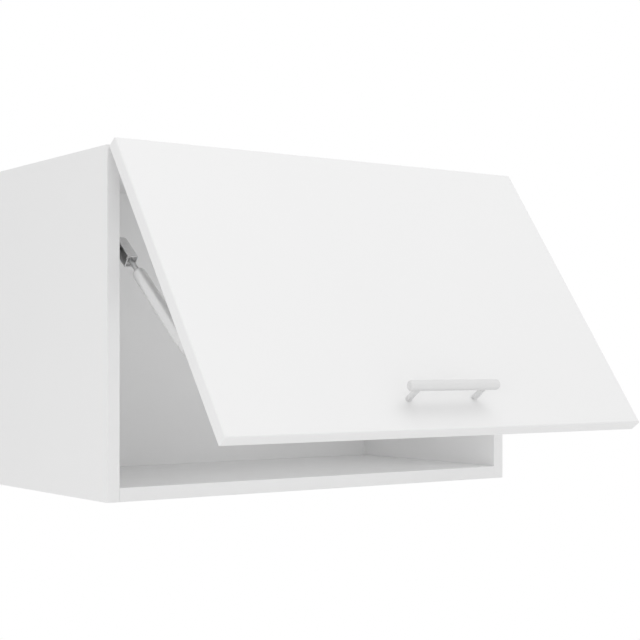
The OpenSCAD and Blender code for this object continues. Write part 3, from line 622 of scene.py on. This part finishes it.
def softenEdges(node, width):
    weld = node.modifiers.new("joinFaces", "WELD")
    weld.merge_threshold = rounding["join"] * mm
    flat = node.modifiers.new("flatFaces", "DECIMATE")
    flat.decimate_type = "DISSOLVE"
    flat.angle_limit = math.radians(rounding["flatWithin"])
    bevel = node.modifiers.new("softEdge", "BEVEL")
    bevel.width = width * mm
    bevel.segments = rounding["steps"]
    bevel.limit_method = "ANGLE"
    bevel.angle_limit = math.radians(rounding["cornerFrom"])
    node.modifiers.new("shadeSmooth", "NODES").node_group = smoother
    node.modifiers.new("evenNormals", "WEIGHTED_NORMAL")


softened = 0
for name, node in nodes.items():
    widths = [width for ending, width in edgeWidths.items() if name.endswith(ending)]
    if widths:
        softenEdges(node, widths[-1])
        softened += 1
print("soft edges: %d nodes" % softened)


# Mesh tools for turned, threaded and moulded pieces. A profile is (radius, height) pairs in mm.
meshing = {
    "merge": 0.001,
    "crest": (0.45, 0.6),  # where a thread's crest starts and ends in its pitch
    "recessTaper": 0.78,
    "ribEnd": ((0, 0.1), (0.25, 0.7), (0.6, 1)),  # a rib's end: way in by its width, share of full size
}


def bridgeRings(bm, rings):  # quads between rings of the same number of points
    for first, second in zip(rings, rings[1:]):
        for i in range(len(first)):
            j = (i + 1) % len(first)
            bm.faces.new((first[i], first[j], second[j], second[i]))


def lathe(bm, profile, at=Matrix(), segments=64):
    rings = []
    for radius, height in profile:
        angles = [2 * math.pi * i / segments for i in range(segments)] if radius else [0]
        spots = [Vector((radius * math.cos(a), radius * math.sin(a), height)) * mm for a in angles]
        rings.append([bm.verts.new(at @ spot) for spot in spots])
    for low, high in zip(rings, rings[1:]):
        for i in range(segments):
            j = i + 1
            corners = (low[i % len(low)], low[j % len(low)], high[j % len(high)], high[i % len(high)])
            bm.faces.new(tuple(dict.fromkeys(corners)))
    return rings


def arc(middle, radius, start, end, steps=6):  # points of a profile along part of a circle, in degrees
    angles = [math.radians(start + (end - start) * i / steps) for i in range(steps + 1)]
    return [(middle[0] + radius * math.cos(a), middle[1] + radius * math.sin(a)) for a in angles]


def dome(flat, wide, low, high, steps):  # a profile rounded from its rim up to a flat top
    angles = [math.radians(90 * i / steps) for i in range(1, steps + 1)]
    return [(flat + (wide - flat) * math.cos(a), low + (high - low) * math.sin(a)) for a in angles]


def thread(radius, low, high, pitch, depth):  # the crests and roots of a thread, upwards
    points = []
    for i in range(int((high - low) / pitch)):
        points.append((radius - depth, low + i * pitch))
        points += [(radius, low + (i + share) * pitch) for share in meshing["crest"]]
    return points


def crossRecess(bm, rim, height, reach, width, depth, at):  # closes a screw head around a driver's cross
    half = width / 2
    outline = [turn("Z", 90 * quarter) @ Vector(p) for quarter in range(4)
               for p in ((reach, -half, 0), (reach, half, 0), (half, half, 0))]
    loops = []
    for scale, up in ((1, height), (meshing["recessTaper"], height - depth)):
        loops.append([bm.verts.new(at @ ((p * scale + Vector((0, 0, up))) * mm)) for p in outline])
    top, foot = loops
    bridgeRings(bm, [top, foot])
    bm.faces.new(foot)
    edges = [bm.edges.get(pair) for loop in (rim, top) for pair in zip(loop, loop[1:] + loop[:1])]
    bmesh.ops.triangle_fill(bm, use_beauty=True, edges=edges)


def halfRound(bm, start, end, out, width, height, steps=8):  # a moulded rib with tapered ends, in mm
    start, end, out = Vector(start), Vector(end), Vector(out)
    along = (end - start).normalized()
    across = along.cross(out)
    length = (end - start).length
    stations = [(inward * width, scale) for inward, scale in meshing["ribEnd"]]
    stations += [(length - distance, scale) for distance, scale in reversed(stations)]
    angles = [math.pi * i / steps for i in range(steps + 1)]
    rings = []
    for distance, scale in stations:
        spots = [start + along * distance + across * (width / 2 * scale * math.cos(a)) +
                 out * (height * scale * math.sin(a)) for a in angles]
        rings.append([bm.verts.new(spot * mm) for spot in spots])
    bridgeRings(bm, rings)
    bm.faces.new(rings[0])
    bm.faces.new(rings[-1])


def makePiece(name, bm, body, slot, at=Matrix(), stands=(), sharp=35):
    bmesh.ops.remove_doubles(bm, verts=bm.verts, dist=meshing["merge"] * mm)
    bmesh.ops.recalc_face_normals(bm, faces=bm.faces)
    mesh = bpy.data.meshes.new(name)
    bm.to_mesh(mesh)
    bm.free()
    mesh.shade_smooth()
    mesh.set_sharp_from_angle(angle=math.radians(sharp))
    mesh.materials.append(finishes[slot])
    piece = bpy.data.objects.new(name, mesh)
    piece.matrix_world = at
    scene.collection.objects.link(piece)
    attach(piece, body)
    if stands:
        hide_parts(*stands)
    return piece


# The handle: a turned bar with dimpled, rounded ends on two posts with a grooved foot
handle = {
    "up": 40,  # above the door's lower edge
    "offset": 26.5,  # from the door's face to the middle of the bar
    "length": 128,
    "bar": 12,
    "endRound": 2.5,
    "endFrom": 80,
    "dimple": (1.3, 1.6, 0.25),  # radius of its floor and rim, depth
    "spacing": 96,
    "post": 7,
    "seat": 1.5,  # a post's end reaches this far into the bar
    "foot": ((0.2, 0), (0.4, 0.2), (0.4, 0.8), (0.2, 1.0), (-0.8, 1.2), (-0.8, 1.7), (-0.1, 2.1), (0, 2.4)),
}


def makeHandle():
    half, radius, soft = handle["length"] / 2, handle["bar"] / 2, handle["endRound"]
    floorRadius, rimRadius, deep = handle["dimple"]
    end = [(0, half - deep), (floorRadius, half - deep), (rimRadius, half), (radius - soft, half)]
    end += arc((radius - soft, half - soft), soft, handle["endFrom"], 0, steps=8)
    bm = bmesh.new()
    lathe(bm, end + [(r, -h) for r, h in reversed(end)], turn("Y", 90), segments=96)
    up = handle["up"] - door["height"]
    middle = onDoor @ shift(0, -door["thick"] - handle["offset"], up)
    makePiece("handleBarTurned", bm, "door", "handle_satin", middle, ["handle_bar"])
    post, top = handle["post"] / 2, handle["offset"] - radius + handle["seat"]
    profile = [(0, 0)] + [(post + out, height) for out, height in handle["foot"]] + [(post, top), (0, top)]
    for side, sign in sides.items():
        bm = bmesh.new()
        lathe(bm, profile)
        foot = onDoor @ shift(sign * handle["spacing"] / 2, -door["thick"], up) @ turn("X", 90)
        makePiece(side + "PostTurned", bm, "door", "handle_satin", foot, [side + "_handle_post"])


# The gas struts: a tube with a drawn shoulder and an end rolled in over its wiper ring, a rod with
# a grooved piston, and a threaded stud with its nut. Heights run down from the strut's pivot.
strutTube = {
    "thick": 15.5,
    "wall": 1,
    "start": 54,
    "long": 141.5,
    "floor": 3,
    "shoulder": 5,
    "shoulderFrom": 82,
    "groove": 11,  # before the tube's end
    "grooveDepth": 0.55,
    "grooveForm": ((1.6, 0), (0.9, 0.5), (0, 1), (-0.9, 0.5), (-1.6, 0)),  # along, share of its depth
    "lip": 1.3,
    "lipTo": -80,
    "mouth": 4.4,
    "mouthBevel": 0.3,
    "rolled": 0.6,
}
wiper = {"long": 3.5, "play": 0.05, "inMouth": 0.1, "outMouth": 0.3, "lipWide": 0.5, "lipLong": 0.5}
strutStud = {
    "thick": 6,
    "root": 1,  # sunk in the tube
    "top": 27,
    "threadFrom": 31,
    "threadDepth": 0.32,
    "runOut": (0.4, 0.6),
    "pitch": 1,
    "chamfer": 0.5,
    "nutAcross": 8.6,
    "nutLow": 30.25,
    "nutHigh": 27.9,
    "nutBore": 0.2,  # below the thread's crests
    "nutBevel": (1.02, 0.6),
}
strutRod = {
    "thick": 6,
    "end": 10,
    "long": 139.01,
    "play": 0.08,
    "piston": 4,
    "pistonForm": ((0, 2.9), (0.7, 2.7), (0.7, 1.3), (0, 1.1), (0, 0.3), (0.3, 0)),  # inwards, from its top
}


def hexNut(bm, low, high, bore, segments=72):  # bevelled on both faces
    flat = strutStud["nutAcross"] / 2 * math.cos(math.radians(30))
    faceShare, slope = strutStud["nutBevel"]
    rings = [[] for point in range(6)]
    for i in range(segments):
        angle = 2 * math.pi * i / segments
        corner = flat / math.cos((angle % math.radians(60)) - math.radians(30))
        face = min(corner, flat * faceShare)
        drop = max(0, corner - flat * faceShare) * slope
        section = ((bore, low), (face, low), (corner, low + drop),
                   (corner, high - drop), (face, high), (bore, high))
        for ring, (radius, height) in zip(rings, section):
            spot = Vector((radius * math.cos(angle), radius * math.sin(angle), height))
            ring.append(bm.verts.new(spot * mm))
    bridgeRings(bm, rings + rings[:1])


def makeStrut(side, sign):
    at = onStrut(sign)
    body = side + "_strut_tube"
    radius, start, soft = strutTube["thick"] / 2, strutTube["start"], strutTube["shoulder"]
    bore, lip, end = radius - strutTube["wall"], strutTube["lip"], start + strutTube["long"]
    mouth, bevel, rolled = strutTube["mouth"], strutTube["mouthBevel"], -end + strutTube["rolled"]
    floor = -start - strutTube["floor"]
    profile = [(0, -start), (radius - soft, -start)]
    profile += arc((radius - soft, -start - soft), soft, strutTube["shoulderFrom"], 0, steps=10)
    profile += [(radius - strutTube["grooveDepth"] * share, strutTube["groove"] - end + along)
                for along, share in strutTube["grooveForm"]]
    profile += arc((radius - lip, -end + lip), lip, 0, strutTube["lipTo"], steps=5)
    profile += [(mouth + bevel, -end), (mouth, -end + bevel), (mouth, rolled), (bore, rolled)]
    profile += [(bore, floor), (0, floor)]
    bm = bmesh.new()
    lathe(bm, profile, segments=96)
    makePiece(side + "TubeDrawn", bm, body, "strut_lacquer", at, [side + "_strut_tube"])

    inner, outer = strutRod["thick"] / 2 + wiper["play"], bore - wiper["play"]
    high, seat, foot = -end + wiper["long"], rolled + wiper["play"], -end - wiper["lipLong"]
    profile = [(inner, high), (outer, high), (outer, seat), (mouth - wiper["inMouth"], seat)]
    profile += [(mouth - wiper["outMouth"], -end - wiper["inMouth"]), (inner + wiper["lipWide"], foot)]
    profile += [(inner, foot), (inner, high)]
    bm = bmesh.new()
    lathe(bm, profile)
    makePiece(side + "RodWiper", bm, body, "black_seal", at, [side + "_strut_gland"])

    stud, top, threadFrom = strutStud["thick"] / 2, -strutStud["top"], -strutStud["threadFrom"]
    root, (before, after) = -start - strutStud["root"], strutStud["runOut"]
    profile = [(0, root), (stud, root), (stud, threadFrom - before)]
    profile += thread(stud, threadFrom, top - after, strutStud["pitch"], strutStud["threadDepth"])
    profile += [(stud - strutStud["chamfer"], top), (0, top)]
    bm = bmesh.new()
    lathe(bm, profile, segments=40)
    hexNut(bm, -strutStud["nutLow"], -strutStud["nutHigh"], stud - strutStud["nutBore"])
    makePiece(side + "StudThreaded", bm, body, "zinc_hardware", at, [side + "_strut_stud"], sharp=30)

    rod, low = strutRod["thick"] / 2, -strut["run"] + strutRod["end"]
    high = low + strutRod["long"]
    wide, piston = bore - strutRod["play"], high - strutRod["piston"]
    profile = [(0, low), (rod, low), (rod, piston), (wide, piston)]
    profile += [(wide - inward, high - down) for inward, down in strutRod["pistonForm"]] + [(0, high)]
    bm = bmesh.new()
    lathe(bm, profile, segments=56)
    makePiece(side + "RodPolished", bm, side + "_strut_rod", "polished_rod", at, [side + "_strut_rod"])


# The folded end fittings: a hood of bent sheet, open towards the side panel, with an end wall set
# inside its rims and a bush for the stud of the bracket. "u" runs from the open side to the closed one.
fitting = {
    "wide": 13,
    "high": 15.5,
    "reach": 35,
    "sheet": 1.2,
    "fold": 1.7,
    "headFold": 5,
    "headSteps": 15,
    "wall": (-31.5, -30.3),
    "wallInset": 2.4,  # the wall stops this far from the open side
    "wallHold": 0.1,  # and goes this far into the closed side
    "hole": 3.3,
    "lip": (0.1, 1.3),
    "lipLong": 1.2,
    "lipHold": 0.05,
    "bush": (4, 2.6),  # radius outside and of its bore
    "bushInset": 0.8,
    "bushBevel": 0.3,
    "bushDeep": 7,
    "softEdge": 0.25,
}


def foldHood(bm, sign):
    wide, high, sheet = fitting["wide"], fitting["high"] / 2, fitting["sheet"]
    reach, steps = fitting["reach"], fitting["headSteps"]
    outer, inner = [], []
    for z, angle in [(-reach, 0)] + [(0, 180 * i / steps) for i in range(steps + 1)] + [(-reach, 180)]:
        way = turn("X", angle) @ Vector((0, 1, 0))
        fold = fitting["fold"] + (fitting["headFold"] - fitting["fold"]) * abs(way.z)
        for rings, inset in ((outer, 0), (inner, sheet)):
            section = [(0, high - inset)] + arc((wide - fold, high - fold), fold - inset, 90, 0)
            section.append((wide - inset, 0))
            rings.append([bm.verts.new((Vector((sign * (wide / 2 - u), 0, z)) + way * r) * mm)
                          for u, r in section])
    strips = [pair for rings in (outer, inner) for pair in zip(rings, rings[1:])]
    strips.append(([ring[0] for ring in outer], [ring[0] for ring in inner]))
    strips += [(outer[0], inner[0]), (outer[-1], inner[-1])]
    for first, second in strips:
        for i in range(len(first) - 1):
            bm.faces.new((first[i], first[i + 1], second[i + 1], second[i]))


def setEndWall(bm, sign, tall, steps=48):  # a plate with a hole for the strut's stud
    openSide = fitting["wide"] / 2 - fitting["wallInset"]
    closedSide = fitting["wide"] / 2 - fitting["sheet"] + fitting["wallHold"]
    corners = [math.atan2(up, along) for up in (-tall, tall) for along in (openSide, -closedSide)]
    angles = sorted([2 * math.pi * i / steps for i in range(steps)] + [a % (2 * math.pi) for a in corners])
    tiny = 1e-6
    edge = []
    for a in angles:
        along = openSide if math.cos(a) > 0 else closedSide
        edge.append(min(along / max(abs(math.cos(a)), tiny), tall / max(abs(math.sin(a)), tiny)))
    hole = [fitting["hole"]] * len(angles)
    low, high = fitting["wall"]
    rings = []
    for radii, z in ((hole, low), (edge, low), (edge, high), (hole, high)):
        spots = [Vector((sign * r * math.cos(a), r * math.sin(a), z)) for r, a in zip(radii, angles)]
        rings.append([bm.verts.new(spot * mm) for spot in spots])
    bridgeRings(bm, rings + rings[:1])


def makeFitting(side, sign):
    wide, (near, far), lipLong = fitting["wide"], fitting["lip"], fitting["lipLong"]
    tall = fitting["high"] / 2 - fitting["sheet"] + fitting["lipHold"]
    bm = bmesh.new()
    foldHood(bm, sign)
    setEndWall(bm, sign, tall)
    lipMiddle = shift(sign * (wide - near - far) / 2, 0, near - fitting["reach"] + lipLong / 2)
    bmesh.ops.create_cube(bm, size=mm, matrix=lipMiddle @ Matrix.Diagonal((far - near, 2 * tall, lipLong, 1)))
    (bush, bore), inset = fitting["bush"], fitting["bushInset"]
    bevel, deep = fitting["bushBevel"], fitting["bushDeep"]
    profile = [(0, wide - inset), (bush, wide - inset), (bush, inset), (bush - bevel, inset - bevel)]
    profile += [(bore + bevel, inset - bevel), (bore, inset), (bore, deep), (0, deep)]
    lathe(bm, profile, shift(sign * wide / 2, 0, 0) @ turn("Y", -90 * sign), segments=40)
    piece = makePiece(side + "FittingFolded", bm, side + "_strut_tube", "grey_steel", onStrut(sign),
                      [side + "_strut_fitting"], sharp=60)
    softenEdges(piece, fitting["softEdge"])


# Screws with a driver's cross. "head" is width and height, "cross" is reach, width and depth. "at" is
# the right-hand place, mirrored to the left, and a pair stands "apart" to both sides of it in X and Z.
screws = {
    "cupScrews": {
        "stands": ["cup_screws"], "body": "door", "shank": 3.5, "long": 11, "pitch": 1.3,
        "head": (6.4, 0.7), "cross": (1.7, 0.75, 0.5),
        "on": "door", "at": (200, 0.9, -32), "apart": (24, 0), "facing": ("X", -90),
    },
    "footScrews": {
        "stands": ["foot_screws"], "body": "door", "shank": 3.5, "long": 11, "pitch": 1.3,
        "head": (7, 1.8), "cross": (1.9, 0.8, 1.1),
        "on": "door", "at": (270, 2, -330), "apart": (0, 19), "facing": ("X", -90),
    },
    "handleScrews": {
        "stands": ["handle_screws"], "body": "door", "shank": 4, "long": 25, "pitch": 0.8,
        "head": (9, 2.4), "cross": (2.5, 1, 1.5),
        "on": "door", "at": (48, 0, -356), "apart": None, "facing": ("X", -90),
    },
    "plateScrews": {
        "stands": ["plate_screws"], "body": "cabinet", "shank": 5, "long": 11.5, "pitch": 1.8,
        "head": (9, 2), "cross": (2.6, 1, 1.3),
        "on": "carcass", "at": (200, -113, 382), "apart": (16, 0), "facing": ("X", 180),
    },
    "bracketScrews": {
        "stands": ["strut_bracket_screws"], "body": "cabinet", "shank": 5, "long": 11.5, "pitch": 1.8,
        "head": (9, 2), "cross": (2.6, 1, 1.3),
        "on": "carcass", "at": (282, -114.5, 292.3), "apart": (0, 20), "facing": ("Y", -90),
    },
    "armScrews": {
        "stands": [], "body": "cabinet", "shank": 4, "long": 3.2, "pitch": 1,
        "head": (7.4, 1.6), "cross": (2.1, 0.9, 1.1),
        "on": "hinge", "at": (0, 62, -11.8), "apart": None, "facing": ("X", 180),
    },
    "armCams": {
        "stands": [], "body": "cabinet", "shank": 3, "long": 1, "pitch": 1,
        "head": (4.3, 1.1), "cross": (1.3, 0.7, 0.6),
        "on": "hinge", "at": (0, 46, -10.4), "apart": None, "facing": ("X", 180),
    },
}
screwForm = {
    "crossRim": 0.3,  # flat around the cross
    "waist": 0.4,  # share of the head below its dome
    "rimBevel": 0.15,
    "point": (0.5, 0.5, 1),  # share of the shank at the tip, where that grows to it, where the thread starts
    "threadTo": 0.6,  # share of the pitch left plain under the head
    "threadDepth": 0.16,
    "neck": 0.1,
    "turned": (12, 37),  # no two are stopped at the same angle
}


def screwPlaces(spec):
    x, y, z = spec["at"]
    axis, degrees = spec["facing"]
    places = []
    for sign in sides.values():
        base = {"door": onDoor, "hinge": onHinge(sign), "carcass": Matrix()}[spec["on"]]
        facing = turn(axis, degrees * sign if axis == "Y" else degrees)
        for way in (-1, 1) if spec["apart"] else (0,):
            alongX, alongZ = spec["apart"] or (0, 0)
            places.append(base @ shift(sign * x + way * alongX, y, z + way * alongZ) @ facing)
    return places


def makeScrews(name, spec):
    shank, low, pitch = spec["shank"] / 2, -spec["long"], spec["pitch"]
    (width, high), (reach, slotWidth, slotDepth) = spec["head"], spec["cross"]
    flat, waist, wide = reach + screwForm["crossRim"], high * screwForm["waist"], width / 2
    tipShare, tip, threadFrom = screwForm["point"]
    bevel, (firstTurn, nextTurn) = screwForm["rimBevel"], screwForm["turned"]
    profile = [(0, low), (shank * tipShare, low + tip)]
    profile += thread(shank, low + threadFrom, -pitch * screwForm["threadTo"], pitch,
                      shank * screwForm["threadDepth"])
    profile += [(shank, -screwForm["neck"]), (shank, 0), (wide - bevel, 0), (wide, bevel), (wide, waist)]
    profile += dome(flat, wide, waist, high, steps=5)
    bm = bmesh.new()
    for number, spot in enumerate(screwPlaces(spec)):
        at = spot @ turn("Z", nextTurn * number + firstTurn)
        rim = lathe(bm, profile, at, segments=32)[-1]
        crossRecess(bm, rim, high, reach, slotWidth, slotDepth, at)
    makePiece(name, bm, spec["body"], "zinc_hardware", stands=spec["stands"], sharp=30)


# Small things: rivets of the hinge arms, domed bumpers, ribs and bezels of the hangers
rivet = {"wide": 5, "high": 0.8, "rim": 0.1, "sunk": 0.2, "out": 6.95}
bumper = {"wide": 8, "high": 1.2, "rim": 0.3, "x": 292, "up": 12}  # its rim is a share of its height
hangerTrim = {
    "x": 273,
    "front": 88.7,
    "inner": 262,
    "middle": 343,
    "holes": 14,
    "ring": 5.3,
    "ringForm": ((-0.8, -0.2), (-0.8, 0.3), (-0.5, 0.7), (0, 0.85), (0.5, 0.7), (0.8, 0.3), (0.8, -0.2),
                 (-0.8, -0.2)),
    "ribs": (-22, -11, 0, 11, 22),
    "ribFrom": 6,
    "ribTo": 40,
    "ribSize": (1.6, 0.8),
}


def makeRivets():
    radius, high, rim = rivet["wide"] / 2, rivet["high"], rivet["rim"]
    profile = [(0, -rivet["sunk"]), (radius, -rivet["sunk"]), (radius, rim)]
    profile += dome(0, radius, rim, high, steps=6)[:-1] + [(0, high)]
    bm = bmesh.new()
    for sign in sides.values():
        for way in (-1, 1):
            spot = onHinge(sign) @ shift(way * rivet["out"], 0, 0)
            lathe(bm, profile, spot @ turn("Y", 90 * way), segments=32)
    makePiece("hingeRivets", bm, "cabinet", "nickel_steel")


def makeBumpers():
    radius, high = bumper["wide"] / 2, bumper["high"]
    rim = high * bumper["rim"]
    profile = [(0, 0), (radius, 0), (radius, rim)]
    profile += dome(0, radius, rim, high, steps=6)[:-1] + [(0, high)]
    bm = bmesh.new()
    for sign in sides.values():
        spot = onDoor @ shift(sign * bumper["x"], 0, bumper["up"] - door["height"])
        lathe(bm, profile, spot @ turn("X", -90))
    makePiece("doorBumpersDomed", bm, "door", "bumper_soft", stands=["door_bumpers"])


def makeHangerTrim(side, sign):
    front, middle, inner = hangerTrim["front"], hangerTrim["middle"], sign * hangerTrim["inner"]
    profile = [(hangerTrim["ring"] + out, up) for out, up in hangerTrim["ringForm"]]
    bm = bmesh.new()
    for way in (-1, 1):
        spot = shift(sign * hangerTrim["x"], front, middle + way * hangerTrim["holes"])
        lathe(bm, profile, spot @ turn("X", 90), segments=48)
    for up in hangerTrim["ribs"]:
        ends = [(inner, front + hangerTrim[end], middle + up) for end in ("ribFrom", "ribTo")]
        halfRound(bm, *ends, (-sign, 0, 0), *hangerTrim["ribSize"])
    makePiece(side + "HangerTrim", bm, "cabinet", "hanger_plastic")


makeHandle()
for side, sign in sides.items():
    makeStrut(side, sign)
    makeFitting(side, sign)
for name, spec in screws.items():
    makeScrews(name, spec)
makeRivets()
makeBumpers()
for side, sign in sides.items():
    makeHangerTrim(side, sign)
print("pieces: handle, struts, %d sets of screws, rivets, bumpers, hanger trim" % len(screws))
